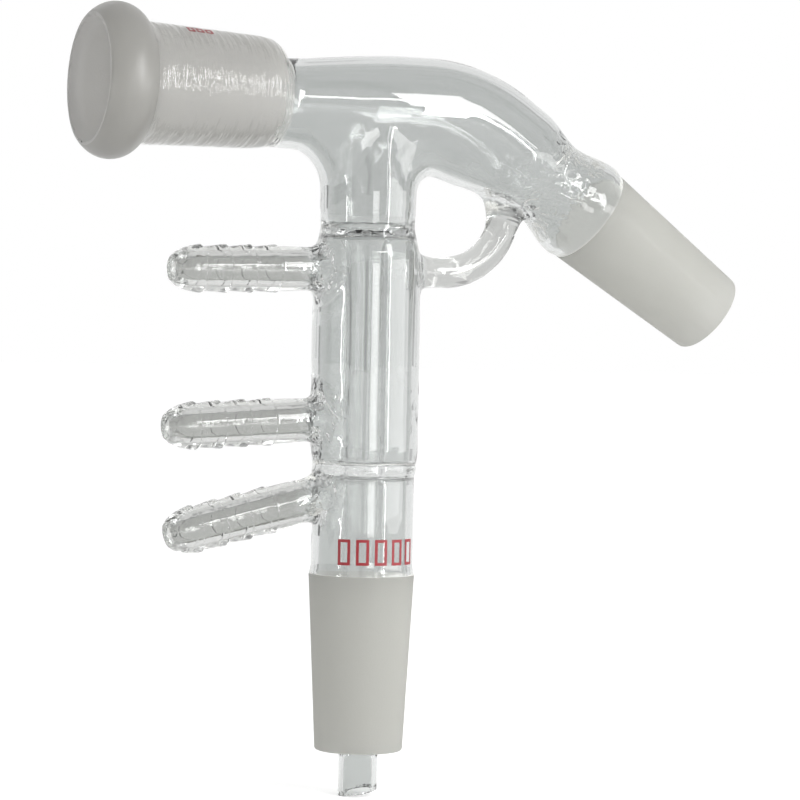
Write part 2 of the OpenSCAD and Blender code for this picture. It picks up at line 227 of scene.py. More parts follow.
def ease(t):
    """0 to 1 with soft ends, as a flame-drawn taper has."""
    t = min(max(t, 0), 1)
    return t * t * (3 - 2 * t)


def run_stations(inset, arm_run):
    """Rings of the cross tube and its bend, smaller by inset, and then the arm's own."""
    rings = []
    length = tail_x + bend_start
    for k in range(run_rings + 1):
        x = -tail_x + length * k / run_rings
        r = tail_r + (tube_r - tail_r) * ease((x + tail_x) / (tail_x + full_x))
        place = Matrix.Translation((x * mm, 0, tube_z * mm)) @ towards_arm
        rings.append((place, r - inset))
    hub = Matrix.Translation((bend_start * mm, 0, (tube_z - bend_r) * mm))
    for k in range(1, bend_rings + 1):
        turn = Matrix.Rotation(radians(arm_angle * k / bend_rings), 4, "Y")
        place = hub @ turn @ Matrix.Translation((0, 0, bend_r * mm)) @ towards_arm
        rings.append((place, tube_r - inset))
    for s, r in arm_run:
        rings.append((along_arm @ Matrix.Translation((0, 0, s * mm)), r))
    return rings


def waist(s):
    """The arm tube's outer radius, drawn in at the weld and led out to the cone."""
    if s < weld_s:
        return weld_r + (tube_r - weld_r) * (1 - ease((s - weld_s + weld_half) / weld_half))
    return weld_r + (joint_r + swell - weld_r) * ease((s - weld_s) / (flare_s - weld_s))


arm_steps = [bend_reach + bend_lap + (flare_s - bend_reach - bend_lap) * k / arm_rings
             for k in range(arm_rings + 1)]
cone_end = arm_len + joint_len
joint_taper = joint_r - joint_end_r
cone_outside = [(arm_len, joint_r)]
cone_outside += [(arm_len + joint_len * k / arm_rings, joint_r - joint_taper * k / arm_rings)
                 for k in range(1, arm_rings)]
cone_outside += [(arm_len + joint_len - y, x)
                 for x, y in arc(joint_end_r - joint_round, joint_round, joint_round, 0, -90)]
cone_inside = [(arm_len, joint_r - wall), (cone_end, joint_end_r - wall),
               (cone_end + 1, joint_end_r - wall)]
bodies.append(drawn(run_stations(0, [(s, waist(s)) for s in arm_steps] + cone_outside)))
hollows.append(drawn(run_stations(wall, [(s, waist(s) - wall) for s in arm_steps]
                                  + cone_inside)))


# ---- Throat and crotches ----------------------------------------------------------------
# Where the neck meets the cross tube the glass is blown out: a slanted throat opens
# the neck towards the arm, and a rounded crotch fills each inside corner.
throat_angle = 15
throat_len = 37.5
throat_x = 2.0
throat_r = neck_r - 0.55
throat_z = (tube_z - tube_r + wall + throat_r / cos(radians(throat_angle))
            - throat_x * tan(radians(throat_angle)))
crotch_socket = 9.0
crotch_socket_r = tail_r - 0.2    # a little slimmer than the tubes that it joins
crotch_arm = 5.0
crotch_arm_r = throat_r - 0.3
seat = 0.12                       # how deep a crotch sits in their walls


def swept(x, z, bend, r, start, end, flare=0):
    """A tube of radius r bent about (x, z), its angles measured from +X upwards. In its
    last third it widens by flare."""
    hub = Matrix.Translation((x * mm, 0, z * mm))
    out = Matrix.Translation((bend * mm, 0, 0))
    steps = 28
    flare_start = 0.66
    flare_span = 0.18
    rings = []
    for k in range(steps + 1):
        turn = Matrix.Rotation(-radians(start + (end - start) * k / steps), 4, "Y")
        widened = flare * ease((k / steps - flare_start) / flare_span)
        rings.append((hub @ turn @ out, r + widened))
    return drawn(rings)


def throat(inset):
    """The slanted throat, smaller by inset."""
    place = (Matrix.Translation((throat_x * mm, 0, throat_z * mm))
             @ Matrix.Rotation(radians(90 + throat_angle), 4, "Y"))
    end = (throat_len - throat_x) / cos(radians(throat_angle))
    r = throat_r - inset
    return turned([(0, 0), (r, 0), (r, end), (0, end)], place)


def crotches(inset):
    """The two blown corners under the cross tube, smaller by inset."""
    lead = crotch_socket + crotch_socket_r
    follow = crotch_arm + crotch_arm_r
    x = neck_top_r + crotch_arm - seat
    z = (throat_z - (x - throat_x) * tan(radians(throat_angle))
         - (throat_r + crotch_arm - seat) / cos(radians(throat_angle)))
    return [
        swept(-neck_top_r - crotch_socket + seat, tube_z - lead - seat, lead,
              crotch_socket_r - inset, 0, 90),
        swept(x, z, follow, crotch_arm_r - inset, 90 - throat_angle, 180),
    ]


bodies += [throat(0)] + crotches(0)
hollows += [throat(wall)] + crotches(wall)


# ---- Socket -----------------------------------------------------------------------------
# A thick-walled socket for a 24/40 cone, blown on a shoulder, with a rolled bead
# round its mouth. Its taper is ground inside.
socket_x = 23.0
socket_z = tube_z + 1.4
socket_tilt = 1.3
shoulder_r = 3.8
inner_round = shoulder_r - 1
socket_tail_r = joint_end_r + 2.5
socket_mouth_r = joint_r + 1.5
bead_h = 3.7
bead_w = 12.0
bead_open = 10                    # degrees of the bead's outer side that the mouth cuts off
lip_flare = 2.3
lip_len = 2.7
ground_start = socket_x + 2.2
mouth_x = ground_start + joint_len + lip_len
bead_x = mouth_x - bead_w / 2
bead_r = (bead_w ** 2 / 4 + bead_h ** 2) / (2 * bead_h)
bead_half = degrees(asin(bead_w / 2 / bead_r))


def to_socket_side(z, tilt):
    """Turns a piece's Z axis to point at the socket's side, tilted down by tilt."""
    return (Matrix.Translation((0, 0, z * mm))
            @ Matrix.Rotation(radians(-90 - tilt), 4, "Y"))


socket_place = to_socket_side(socket_z, -socket_tilt)
bead = arc(socket_mouth_r + bead_h - bead_r, bead_x, bead_r, -bead_half, bead_half - bead_open,
           20)
bodies.append(turned(
    [(0, socket_x)]
    + arc(socket_tail_r - shoulder_r, socket_x + shoulder_r, shoulder_r, -90, 0, 10)
    + bead + [(0, bead[-1][1])],
    socket_place,
))
hollows.append(turned(
    [(0, ground_start - inner_round)]
    + arc(joint_end_r - inner_round, ground_start, inner_round, -90, 0, 8)
    + [(joint_r, ground_start + joint_len), (joint_r + lip_flare, mouth_x)]
    + [(joint_r + lip_flare, mouth_x + 1), (0, mouth_x + 1)],
    socket_place,
))


# ---- Hose connections -------------------------------------------------------------------
# Three serrated hose barbs, pressed and then fused on with a flared foot: water in and
# out of the jacket, and vacuum to the shank.
barb_stem_r = 5.05
barb_crest_r = 5.45
barb_root_r = 4.88
barb_tip_r = 3.0
barb_bore_r = 2.7
barb_pitch = 6.0
barb_nose = 6.7                   # from the last crest to the tip
barb_step = 1.0
foot_flare = 2.0
upper_z = top_seal_z - 7.9
lower_z = low_seal_z + 11.9
upper_tilt = 1.6
lower_tilt = 3.2
vacuum_tilt = 13.2
upper_len = 35.2
lower_len = 36.0
vacuum_len = 37.0
vacuum_z = low_seal_z - 6.4 + shank_r * tan(radians(vacuum_tilt))


def barb(z, tilt, r, length):
    """A hose connection on a tube of radius r: its outside and its bore."""
    place = to_socket_side(z, tilt)
    tip_s = r + length
    nose = tip_s - barb_nose
    foot = arc(barb_stem_r + foot_flare, r + foot_flare, foot_flare, 228, 180, 8)
    profile = [(0, r - wall), (foot[0][0], r - wall)] + foot
    # Each ridge has a steep face up to its crest, with slightly rounded corners, and
    # slopes down again to the root of the next.
    for k in (3, 2, 1, 0):
        s = nose - k * barb_pitch
        root = barb_stem_r if k == 3 else barb_root_r
        profile += [(root, s - 0.5), (root, s - 0.18), (root + 0.06, s - 0.11)]
        profile += [(barb_crest_r - 0.06, s - 0.03), (barb_crest_r, s + 0.05)]
        profile += [(barb_crest_r - 0.02, s + 0.25)]
    profile += [(barb_crest_r - 0.25, nose + 1.6), (barb_crest_r - 0.7, nose + 3.4)]
    profile += [(barb_crest_r - 1.3, nose + 4.8), (barb_tip_r + 0.5, tip_s - 0.7)]
    profile += arc(barb_tip_r - 0.5, tip_s - 0.6, 0.6, 30, 90, 4) + [(0, tip_s)]
    start = drip_r + 2
    bore = [(0, start), (barb_bore_r, start), (barb_bore_r, tip_s + 1), (0, tip_s + 1)]
    return [turned(line, place, barb_step, thin_around) for line in (profile, bore)]


upper_barb, upper_bore = barb(upper_z, upper_tilt, jacket_r, upper_len)
lower_barb, lower_bore = barb(lower_z, lower_tilt, jacket_r, lower_len)
vacuum_barb, vacuum_bore = barb(vacuum_z, vacuum_tilt, shank_r, vacuum_len)
bodies += [upper_barb, lower_barb, vacuum_barb]


# ---- Brace ------------------------------------------------------------------------------
# A solid glass rod, fused to the jacket and curved up into the underside of the arm,
# so that the arm doesn't break off at the neck.
brace_rod_r = 3.6
brace_z = top_seal_z - 8.2
brace_x = jacket_r + 6.8
brace_r = 15.9
brace_swell = 0.8                 # extra radius at the jacket
brace_flare = 1.2                 # extra radius at the arm
brace_sink = tube_r - wall - brace_rod_r
brace_step = 0.8
rod_lap = 1                       # the straight rod's end lies inside the curved one
rod_fit = 0.05
to_arm = 90 - arm_angle
brace_offset = ((bend_x - brace_x) * cos(radians(to_arm))
                + (tube_z - brace_z - brace_r) * sin(radians(to_arm)))
brace_end = to_arm - degrees(acos((brace_offset - brace_sink) / brace_r))
rod_start = jacket_r - wall
rod_place = Matrix.Translation((rod_start * mm, 0, brace_z * mm)) @ towards_arm
rod_len = brace_x - rod_start + rod_lap
bodies.append(turned([(0, 0), (brace_rod_r + brace_swell, 0), (brace_rod_r, wall + 2),
                      (brace_rod_r - rod_fit, rod_len), (0, rod_len)],
                     rod_place, brace_step, thin_around))
bodies.append(swept(brace_x, brace_z + brace_r, brace_r, brace_rod_r, -90, brace_end,
                    brace_flare))


# ---- Fusing -----------------------------------------------------------------------------
# Everything above is fused into one piece of glass in the flame, then annealed. The
# seams flow together into fillets, and every open end is fire-polished.
sliver = 0.12                     # edges shorter than this are merged before the glass flows
seam_angle = 9                    # degrees; a sharper edge is a seam
polish_angle = 48                 # degrees; a sharper edge is rounded in the flame
polish_r = 0.3
seal_ripple = 0.26                # depths of the ripples, and how far up and down they reach
seal_reach = 2.2
weld_ripple = 0.11
weld_reach = 6
foot_ripple = 0.12
ripple_rate = 0.9                 # ripples in each millimetre
ripple_seed = 7                   # makes them the same on every run
hose_feet = [(-jacket_r, 0, upper_z), (-jacket_r, 0, lower_z), (-shank_r, 0, vacuum_z)]
brace_foot = (jacket_r, 0, brace_z)
brace_top = (35.5, 0, 122.5)
under_tube = (8, 0, 135)
socket_neck = (-24, 0, 146)
# How each kind of seam is melted: each pair is a reach in mm and a number of passes.
blown = [(5, 6), (3.5, 8), (2, 8)]
flared = [(6, 12), (4.5, 14), (3, 12)]
pierced = [(2.5, 10)]


def as_object(bm, name="blank"):
    """A bmesh made an object at the origin."""
    mesh = bpy.data.meshes.new(name)
    bm.to_mesh(mesh)
    bm.free()
    piece = bpy.data.objects.new(name, mesh)
    bpy.context.scene.collection.objects.link(piece)
    return piece


def worked(base, tools, operation):
    """base joined with, or cut by, the tools, which are used up."""
    for tool in tools:
        cut = base.modifiers.new("cut", "BOOLEAN")
        cut.solver = "MANIFOLD"
        cut.operation = operation
        cut.object = tool
    bpy.context.view_layer.update()
    seen = base.evaluated_get(bpy.context.evaluated_depsgraph_get())
    bm = bmesh.new()
    bm.from_mesh(bpy.data.meshes.new_from_object(seen))
    for used in [base] + tools:
        bpy.data.objects.remove(used)
    return bm


def fuse(parts):
    """One solid from several."""
    parts = [as_object(bm) for bm in parts]
    return worked(parts[0], parts[1:], "UNION")


def flow(bm, zones, passes):
    """Melts the seams whose middle lies in a zone, given as (centre, reach) in mm."""
    bmesh.ops.dissolve_degenerate(bm, dist=sliver * mm, edges=bm.edges)
    bmesh.ops.triangulate(bm, faces=[f for f in bm.faces if len(f.verts) > 4])
    bm.normal_update()
    seams = KDTree(len(bm.edges))
    for edge in bm.edges:
        middle = (edge.verts[0].co + edge.verts[1].co) / 2
        near = any((middle - Vector(c) * mm).length < reach * mm for c, reach in zones)
        if near and len(edge.link_faces) == 2 and edge.calc_face_angle() > radians(seam_angle):
            seams.insert(middle, edge.index)
    seams.balance()
    gaps = [(v, seams.find(v.co)[2]) for v in bm.verts]
    for reach, count in passes:
        soft = [v for v, gap in gaps if gap is not None and gap < reach * mm]
        for _ in range(count):
            bmesh.ops.smooth_vert(bm, verts=soft, factor=0.5, use_axis_x=True,
                                  use_axis_y=True, use_axis_z=True)


def off_axis(p):
    """How far a point lies from the Z axis."""
    return Vector((p.x, p.y)).length


def stir(bm):
    """The small ripples left where glass was worked: at the seals, weld and feet."""
    arm = along_arm.inverted()
    spots = [(foot, 8) for foot in hose_feet] + [(brace_foot, 6), (brace_top, 7)]
    for v in bm.verts:
        p = v.co / mm
        depth = 0
        if off_axis(p) < jacket_r + 1:
            for z in (low_seal_z, top_seal_z):
                depth = max(depth, seal_ripple * (1 - abs(p.z - z) / seal_reach))
        q = arm @ v.co / mm
        depth = max(depth, weld_ripple * (1 - abs(q.z - weld_s) / weld_reach) * (p.x > 0))
        for spot, reach in spots:
            depth = max(depth, foot_ripple * (1 - (p - Vector(spot)).length / reach))
        if depth > 0:
            v.co += depth * mm * noise.noise_vector(p * ripple_rate)


skin = fuse(bodies)
flow(skin, [(under_tube, 28), (socket_neck, 13)], blown)
flow(skin, [(foot, 8) for foot in hose_feet] + [(brace_foot, 7), (brace_top, 10)], flared)
void = fuse(hollows)
flow(void, [(under_tube, 32), (socket_neck, 13)], blown)
water = fuse([water_space, upper_bore, lower_bore])
flow(water, [((-water_r, 0, upper_z), 4), ((-water_r, 0, lower_z), 4)], pierced)
vacuum = fuse([vacuum_space, vacuum_bore])
flow(vacuum, [((-vacuum_r, 0, vacuum_z), 4)], pierced)
# The block cuts the tip off at its slant.
block = bmesh.new()
bmesh.ops.create_cube(block, size=4 * drip_r * mm)
bmesh.ops.transform(block, verts=block.verts, matrix=(
    Matrix.Translation((0, 0, (tip_r * tan(radians(drip_cut)) - drip_len) * mm))
    @ Matrix.Rotation(radians(-drip_cut), 4, "Y")
    @ Matrix.Translation((0, 0, -2 * drip_r * mm))))
glass = worked(as_object(skin), [as_object(b) for b in (void, water, vacuum, block)],
               "DIFFERENCE")
glass.normal_update()
rims = [e for e in glass.edges if len(e.link_faces) == 2
        and e.calc_face_angle() > radians(polish_angle) and e.is_convex]
bmesh.ops.bevel(glass, geom=rims, offset=polish_r * mm, offset_type="OFFSET", affect="EDGES",
                segments=3, profile=0.5, material=-1, clamp_overlap=True)
noise.seed_set(ripple_seed)
stir(glass)


# ---- Finishes of the glass --------------------------------------------------------------
# The one piece has several surfaces. Both cones and the inside of the socket are ground
# to the standard taper with silicon carbide, the hose connections were pressed, the socket
# was spun in a mould and its bead rolled, and the flame polished the rest.
finishes = ["clear", "ground", "untinted", "moulded", "ground_bore", "rolled", "pressed", "rod"]
glass_ior = 1.474
ground_edge = 0.1                 # how far the grinding runs past a cone's ends
ground_under = 0.7                # how far off its cone a ground face may lie
ground_over = 1
bore_over = 0.3
margin = 1                        # sets a face apart from the tube beside it
barb_foot = 3                     # how much of each hose connection is its clear foot
bead_edge = 0.4
from_arm = along_arm.inverted()
from_socket = socket_place.inverted()


def is_ground(p):
    """Whether a point of the glass lies on a ground face."""
    if -ground_edge < p.z / mm < joint_len:
        cone_r = joint_end_r + joint_taper * p.z / mm / joint_len
        return off_axis(p) / mm > cone_r - ground_under
    q = from_arm @ p
    s = q.z / mm - arm_len
    if 0 < s < joint_len + ground_edge and p.x > 0:
        cone_r = joint_r - joint_taper * s / joint_len
        return -ground_under < off_axis(q) / mm - cone_r < ground_over
    q = from_socket @ p
    s = q.z / mm - ground_start
    if 0 < s < joint_len + lip_len - ground_edge and p.x < 0:
        flare = lip_flare * max(0, s - joint_len) / lip_len
        bore_r = joint_end_r + joint_taper * s / joint_len + flare
        return off_axis(q) / mm < bore_r + bore_over
    return False


def finish_at(point):
    """The name of the finish at a point of the glass."""
    p = point / mm
    on_arm = from_arm @ point / mm
    if is_ground(point):
        return "ground" if p.x > -socket_x else "ground_bore"
    beside_tubes = p.x > jacket_r + margin and off_axis(on_arm) > tube_r + margin
    if beside_tubes and p.z < brace_z + brace_r:
        return "rod"
    if p.x < -jacket_r - barb_foot and p.z < upper_z + 2 * barb_crest_r:
        return "pressed"
    if p.x < -socket_x and p.z > tube_z - 2 * socket_mouth_r:
        bead_start = bead_x - bead_w / 2 - bead_edge
        return "rolled" if (from_socket @ point).z / mm > bead_start else "moulded"
    # The inner tube and the cones' inner faces take the untinted glass, painted light that
    # lifts them.
    in_cone = 0 < p.z < joint_len or p.x > bend_x and on_arm.z > arm_len
    in_stem = 0 < p.z < top_seal_z - margin and off_axis(p) < vacuum_r - margin
    return "untinted" if in_cone or in_stem else "clear"


for face in glass.faces:
    face.smooth = True
    face.material_index = finishes.index(finish_at(face.calc_center_median()))
head = as_object(glass, "glass_head")
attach(head, "root")
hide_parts("distillation_head")


def colour(code):
    """An sRGB hex colour as the linear one that shaders take."""
    parts = [int(code[k:k + 2], 16) / 255 for k in (0, 2, 4)]
    return [p / 12.92 if p <= 0.04045 else ((p + 0.055) / 1.055) ** 2.4 for p in parts] + [1]


def repeats(count, length):
    """The scale of a pattern that repeats count times in length mm."""
    return count / (length * mm)


def add(tree, kind, feeds, **settings):
    """Adds a node; feeds gives its inputs a value each, or another node's output."""
    node = tree.nodes.new(kind)
    for name, value in settings.items():
        setattr(node, name, value)
    for name, value in feeds.items():
        if isinstance(value, bpy.types.NodeSocket):
            tree.links.new(value, node.inputs[name])
        else:
            node.inputs[name].default_value = value
    return node


def new_material(name):
    """An empty material and its node tree."""
    made = bpy.data.materials.new(name)
    made.use_nodes = True
    made.node_tree.nodes.clear()
    return made, made.node_tree


# Borosilicate tube, drawn and polished in the flame. Its long low waves bend what is
# seen through it a little, and where it was worked it is full of swirls, 3 to 5 mm wide.
# Its pale grey is mostly painted shade, standing in for a grey surround seen through each
# wall; only a little of it is what the glass itself takes from the light.
clear, tree = new_material("borosilicate")
place = add(tree, "ShaderNodeTexCoord", {}).outputs["Object"]
waves = add(tree, "ShaderNodeTexNoise", {"Vector": place, "Scale": repeats(9, 100),
                                         "Detail": 1.0})
bump = add(tree, "ShaderNodeBump", {"Height": waves.outputs["Fac"], "Strength": 0.04,
                                    "Distance": 2 * mm})
weld_spot = along_arm @ Vector((0, 0, weld_s * mm)) / mm
# Each worked place has its middle, how far out the swirls are full, and where they end.
near_flame = 0.0
for spot, full, clear_from in (
        [(weld_spot, 10.6, 13.5)] + [(foot, 5.5, 9) for foot in hose_feet]
        + [(brace_foot, 4, 8), (brace_top, 4, 9)]):
    gap = add(tree, "ShaderNodeVectorMath", {0: place, 1: Vector(spot) * mm},
              operation="DISTANCE")
    near = add(tree, "ShaderNodeMapRange", {
        "Value": gap.outputs["Value"], "From Min": full * mm, "From Max": clear_from * mm,
        "To Min": 1.0, "To Max": 0.0})
    near_flame = add(tree, "ShaderNodeMath", {0: near_flame, 1: near.outputs[0]},
                     operation="MAXIMUM").outputs[0]
swirl = add(tree, "ShaderNodeTexNoise", {"Vector": place, "Scale": repeats(13, 50),
                                         "Detail": 0.5, "Distortion": 2.0})
height = add(tree, "ShaderNodeMath", {0: swirl.outputs["Fac"], 1: near_flame},
             operation="MULTIPLY")
bump = add(tree, "ShaderNodeBump", {"Height": height.outputs[0], "Strength": 1.0,
                                    "Distance": 0.6 * mm, "Normal": bump.outputs["Normal"]})
surface = add(tree, "ShaderNodeBsdfPrincipled", {
    "Base Color": colour("D5D7D6"), "Roughness": 0.0, "IOR": glass_ior,
    "Transmission Weight": 1.0, "Normal": bump.outputs["Normal"]})
add(tree, "ShaderNodeOutputMaterial", {"Surface": surface.outputs["BSDF"]})


def ground_glass(name, code, outer_clear, inner_clear, veil_code, outer_veil, inner_veil):
    """Borosilicate ground with silicon carbide grit: an even grey-white matt. A share of
    the light soaks through it, the veil, and part of the rest passes clear. Both shares
    differ for light that comes from outside and from inside the glass."""
    made, tree = new_material(name)
    place = add(tree, "ShaderNodeTexCoord", {}).outputs["Object"]
    # The grit's pits are under 0.1 mm wide, and are drawn 0.4 mm apart so that they show.
    grit = add(tree, "ShaderNodeTexNoise", {"Vector": place, "Scale": repeats(1, 0.4),
                                            "Detail": 2.0})
    bump = add(tree, "ShaderNodeBump", {"Height": grit.outputs["Fac"], "Strength": 0.3,
                                        "Distance": 0.2 * mm})
    side = add(tree, "ShaderNodeNewGeometry", {}).outputs["Backfacing"]    # 1 from inside
    passed = outer_clear
    if inner_clear != outer_clear:
        passed = add(tree, "ShaderNodeMapRange", {"Value": side, "To Min": outer_clear,
                                                  "To Max": inner_clear}).outputs[0]
    surface = add(tree, "ShaderNodeBsdfPrincipled", {
        "Base Color": colour(code), "Roughness": 0.5, "IOR": glass_ior,
        "Transmission Weight": passed, "Normal": bump.outputs["Normal"]})
    soaked = add(tree, "ShaderNodeBsdfTranslucent", {"Color": colour(veil_code)})
    share = add(tree, "ShaderNodeMapRange", {"Value": side, "To Min": outer_veil,
                                             "To Max": inner_veil})
    matt = add(tree, "ShaderNodeMixShader", {0: share.outputs[0], 1: surface.outputs["BSDF"],
                                             2: soaked.outputs["BSDF"]})
    add(tree, "ShaderNodeOutputMaterial", {"Surface": matt.outputs["Shader"]})
    return made


# The cones glow softly all through. Their grey is painted shade, and seen from inside more
# light soaks through them, painted light that lifts them there. The socket's ground bore looks
# greyer and flatter behind its thick clear wall, yet its own colour is painted lighter than
# the cones' to make up for the dim light inside the socket, and from inside it lets less
# through.
ground = ground_glass("ground_borosilicate", "C3C3BE", 0.45, 0.45, "D7D7D3", 0.6, 0.95)
ground_bore = ground_glass("ground_borosilicate_bore", "DBDAD8", 0.45, 0.15,
                           "DBDAD8", 0.3, 0.1)

# The same tube in the inner tube and behind the ground faces, polished by the flame. It is
# left untinted: painted light that keeps the middle of the stem and the cones seen from inside
# lighter than the grey glass round them.
untinted, tree = new_material("untinted_borosilicate")
surface = add(tree, "ShaderNodeBsdfPrincipled", {
    "Base Color": colour("FDFDFD"), "Roughness": 0.0, "IOR": glass_ior,
    "Transmission Weight": 1.0})
add(tree, "ShaderNodeOutputMaterial", {"Surface": surface.outputs["BSDF"]})

# The socket's outside, spun while hot in a graphite mould. That leaves fine rings, 1 to
# 2 mm wide and broken up every 8 mm or so, which glint as short bright strokes.
moulded, tree = new_material("moulded_borosilicate")
place = add(tree, "ShaderNodeTexCoord", {}).outputs["Object"]
rings = add(tree, "ShaderNodeMapping", {
    "Vector": place, "Scale": (repeats(1, 1.25), repeats(6, 50), repeats(6, 50))})
lines = add(tree, "ShaderNodeTexNoise", {"Vector": rings.outputs[0], "Scale": 1.0,
                                         "Detail": 2.0})
bump = add(tree, "ShaderNodeBump", {"Height": lines.outputs["Fac"], "Strength": 1.0,
                                    "Distance": 0.7 * mm})
# Its pale grey, a little lighter than the tube's, is painted shade as the tube's is.
surface = add(tree, "ShaderNodeBsdfPrincipled", {
    "Base Color": colour("DFDFDC"), "Roughness": 0.015, "IOR": glass_ior,
    "Transmission Weight": 1.0, "Normal": bump.outputs["Normal"]})
add(tree, "ShaderNodeOutputMaterial", {"Surface": surface.outputs["BSDF"]})

# The bead, rolled and pressed with graphite while soft: a satin, half clear skin.
rolled, tree = new_material("rolled_borosilicate")
# Its grey, much deeper than the tube's, is painted shade.
surface = add(tree, "ShaderNodeBsdfPrincipled", {
    "Base Color": colour("AFAEAA"), "Roughness": 0.34, "IOR": glass_ior,
    "Transmission Weight": 0.7})
add(tree, "ShaderNodeOutputMaterial", {"Surface": surface.outputs["BSDF"]})

# The hose connections, pressed in an iron mould. It leaves shallow dents about 2 mm
# wide and a slightly dull skin, so their highlights are soft and broken.
pressed, tree = new_material("pressed_borosilicate")
place = add(tree, "ShaderNodeTexCoord", {}).outputs["Object"]
dents = add(tree, "ShaderNodeTexNoise", {"Vector": place, "Scale": repeats(9, 20),
                                         "Detail": 1.0})
bump = add(tree, "ShaderNodeBump", {"Height": dents.outputs["Fac"], "Strength": 1.0,
                                    "Distance": 0.06 * mm})
# Their grey, a little deeper than the tube's, is painted shade as the tube's is.
surface = add(tree, "ShaderNodeBsdfPrincipled", {
    "Base Color": colour("CCCDCB"), "Roughness": 0.04, "IOR": glass_ior,
    "Transmission Weight": 1.0, "Normal": bump.outputs["Normal"]})
add(tree, "ShaderNodeOutputMaterial", {"Surface": surface.outputs["BSDF"]})

# The brace's solid rod, polished by the flame. It is clear and even. Its grey, deeper than the
# tube's, is painted shade as the tube's is, with a little of what the thick glass takes from
# the light.
rod, tree = new_material("borosilicate_rod")
surface = add(tree, "ShaderNodeBsdfPrincipled", {
    "Base Color": colour("C3C4C2"), "Roughness": 0.0, "IOR": glass_ior,
    "Transmission Weight": 1.0})
add(tree, "ShaderNodeOutputMaterial", {"Surface": surface.outputs["BSDF"]})

for used in (clear, ground, untinted, moulded, ground_bore, rolled, pressed, rod):
    head.data.materials.append(used)    # in the order of finishes


# ---- Enamel marks -----------------------------------------------------------------------
# Plain red frames stand where the ground joints are marked. They are printed in glass
# enamel and fired on, one row on the shank and a small one on top of the socket.
enamel = 0.05
clearance = 0.01
stroke_w = 0.65
small_stroke = 0.35
bearing_step = 1.5                # degrees of a stroke between two of its edges
mark_low = 42.6
mark_high = 48.4
mark_start = -142                 # degrees round the shank
mark_pitch = 21
mark_width = 14.5
small_low = 41.2                  # the socket's marks run along it
small_high = 42.8
small_start = -30
small_width = 10
small_pitch = 2.1


def stroke(r, start, end, low, high, slope=0):
    """A patch on a tube, between two bearings in degrees and two places along it."""
    bm = bmesh.new()
    low_r = r + clearance + slope * low
    high_r = r + clearance + slope * high
    corners = [(low_r, low), (low_r + enamel, low), (high_r + enamel, high), (high_r, high)]
    bm.faces.new([bm.verts.new((x * mm, 0, z * mm)) for x, z in corners])
    bmesh.ops.rotate(bm, verts=bm.verts, matrix=Matrix.Rotation(radians(start), 3, "Z"))
    bmesh.ops.spin(bm, geom=bm.verts[:] + bm.edges[:] + bm.faces[:], cent=(0, 0, 0),
                   axis=(0, 0, 1), dvec=(0, 0, 0), angle=radians(end - start),
                   steps=max(1, round((end - start) / bearing_step)), use_merge=False)
    bmesh.ops.recalc_face_normals(bm, faces=bm.faces)
    return bm


def printed_frame(r, start, end, low, high, line, slope=0):
    """The four strokes of one upright frame, each line mm wide."""
    turn = degrees(line / r)
    return [stroke(r, start, start + turn, low, high, slope),
            stroke(r, end - turn, end, low, high, slope),
            stroke(r, start + turn, end - turn, high - line, high, slope),
            stroke(r, start + turn, end - turn, low, low + line, slope)]


# Glass enamel, screen-printed and fired. It is a dull, slightly uneven dark red, with
# clouds of less than a millimetre where the colour lies thicker.
red, tree = new_material("red_enamel")
place = add(tree, "ShaderNodeTexCoord", {}).outputs["Object"]
cloud = add(tree, "ShaderNodeTexNoise", {"Vector": place, "Scale": repeats(6, 5),
                                         "Detail": 2.0})
tone = add(tree, "ShaderNodeMix", {0: cloud.outputs["Fac"], 6: colour("7C1018"),
                                   7: colour("9A1F28")}, data_type="RGBA")
surface = add(tree, "ShaderNodeBsdfPrincipled", {"Base Color": tone.outputs[2],
                                                 "Roughness": 0.4, "IOR": 1.5})
add(tree, "ShaderNodeOutputMaterial", {"Surface": surface.outputs["BSDF"]})


def printed(name, strokes, place):
    """One enamel piece from its strokes."""
    whole = bmesh.new()
    for bm in strokes:
        mesh = bpy.data.meshes.new("stroke")
        bm.to_mesh(mesh)
        bm.free()
        whole.from_mesh(mesh)
    bmesh.ops.transform(whole, matrix=place, verts=whole.verts)
    piece = as_object(whole, name)
    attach(piece, "root")
    piece.data.materials.append(red)


strokes = []
for k in range(5):
    start = mark_start + mark_pitch * k
    strokes += printed_frame(shank_r, start, start + mark_width, mark_low, mark_high, stroke_w)
printed("shank_mark", strokes, Matrix())
taper = (socket_mouth_r - socket_tail_r) / (bead_x - bead_w / 2 - socket_x - shoulder_r)
foot_r = socket_tail_r - taper * (socket_x + shoulder_r)
strokes = []
for k in range(3):
    along = small_pitch * k
    strokes += printed_frame(foot_r, small_start, small_start + small_width,
                             small_low + along, small_high + along, small_stroke, taper)
printed("socket_mark", strokes, socket_place)


# ---- Floor and light --------------------------------------------------------------------
# A white paper table top inside a white cloth tent, which is lit evenly. The dark gaps
# between the tent's panels draw the grey lines in clear glass. Soft boxes in front give
# the long highlights down the tubes.
table_reach = 30                  # metres each way
paper_glow = 0.45
tent_panels = 8
gap_tone = 0.55                   # how light the gaps are, where the tent is 1
gap_edges = (-0.98, -0.7)         # cosines, from a gap's darkest part to its panel
behind_y = 0.75                   # directions run from -1 to 1 on each axis
slit_x = -0.43
slit_edges = (0.03, 0.08)
slit_tone = 0.1
side_edges = (-0.95, -0.8)
side_tone = 0.2
tent_fill = 0.72                  # what the tent gives to matt faces


def sees_white(tree, ray):
    """1 for a ray that sees the white surround: the camera's own, off a gloss or through
    glass. 0 for one that only lights a matt face."""
    seen = add(tree, "ShaderNodeMath", {0: ray["Is Camera Ray"], 1: ray["Is Glossy Ray"]},
               operation="ADD")
    seen = add(tree, "ShaderNodeMath", {0: seen.outputs[0], 1: ray["Is Transmission Ray"]},
               operation="ADD", use_clamp=True)
    return seen.outputs[0]


